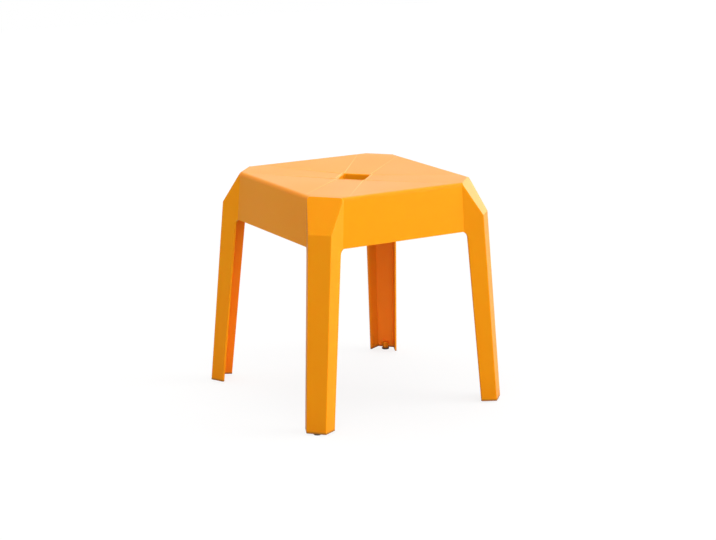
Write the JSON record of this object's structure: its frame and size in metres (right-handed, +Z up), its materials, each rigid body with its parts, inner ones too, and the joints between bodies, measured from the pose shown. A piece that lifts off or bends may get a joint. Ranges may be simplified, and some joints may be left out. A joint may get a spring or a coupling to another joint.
{
  "type": "stacking stool",
  "caption": "Moulded plastic stacking stool: square dished seat with cut corners and a diamond hand hole, deep aprons, flared channel legs and soft foot pads.",
  "frame": {"origin": "on the floor under the middle of the seat", "axes": "+Z up; the aprons face +X, -X, +Y and -Y; -Y is called the front and -X the left"},
  "size_m": [0.4534, 0.4534, 0.45],
  "materials": {
    "moulded_plastic": "satin moulded polypropylene, coloured right through",
    "pad_rubber": "matt soft elastomer"
  },
  "bodies": {
    "root": {"moulded_body": "moulded_plastic", "foot_pad_front_left": "pad_rubber", "foot_pad_front_right": "pad_rubber", "foot_pad_back_left": "pad_rubber", "foot_pad_back_right": "pad_rubber"}
  },
  "joints": []
}
